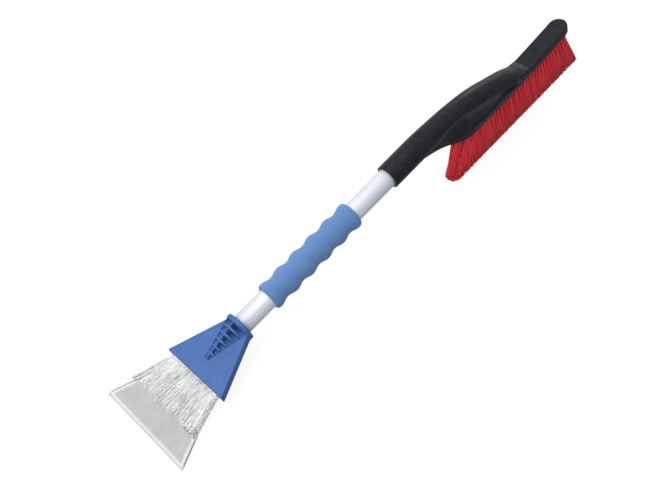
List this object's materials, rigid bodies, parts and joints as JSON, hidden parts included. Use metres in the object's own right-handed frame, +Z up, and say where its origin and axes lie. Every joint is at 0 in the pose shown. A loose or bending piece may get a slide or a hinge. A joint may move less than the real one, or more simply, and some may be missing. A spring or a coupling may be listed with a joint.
{
  "type": "windshield ice scraper",
  "caption": "Long-handled car snow tool: a clear ribbed ice scraper blade in a blue wedge head, an aluminium tube with a foam sleeve, and a black brush head with red bristles.",
  "frame": {"origin": "middle of the tool's footprint on the plane that it lies on, blade edge and bristle tips down", "axes": "+X from the ice blade towards the brush, +Z up; the tube rises towards the brush at 10.93 degrees in the XZ plane"},
  "size_m": [0.6534, 0.124, 0.1038],
  "materials": {
    "clear_blade": "clear hard plastic, polished faces, moulded chipper ribs",
    "blue_plastic": "mid-blue injection-moulded plastic, semi-gloss",
    "screw_steel": "zinc-plated self-tapping pan head screws",
    "satin_aluminium": "satin anodised, drawn lengthwise",
    "black_plastic": "black moulded plastic, fine satin grain",
    "black_board": "black tuft board, matte",
    "blue_foam": "mid-blue closed-cell foam, matte with fine pores",
    "red_bristle": "red extruded plastic filaments",
    "staple_wire": "flat anchor wire"
  },
  "bodies": {
    "root": {"scraper_blade": "clear_blade", "scraper_head": "blue_plastic", "blade_screws": "screw_steel", "tube": "satin_aluminium", "tube_screws": "screw_steel", "tube_plug": "black_plastic", "foam_grip": "blue_foam", "brush_head": "black_plastic", "bristle_block": "black_board", "bristle_row_1": "red_bristle", "bristle_row_2": "red_bristle", "bristle_row_3": "red_bristle", "bristle_row_4": "red_bristle", "staples_row_1": "staple_wire", "staples_row_2": "staple_wire", "staples_row_3": "staple_wire", "staples_row_4": "staple_wire"}
  },
  "joints": []
}
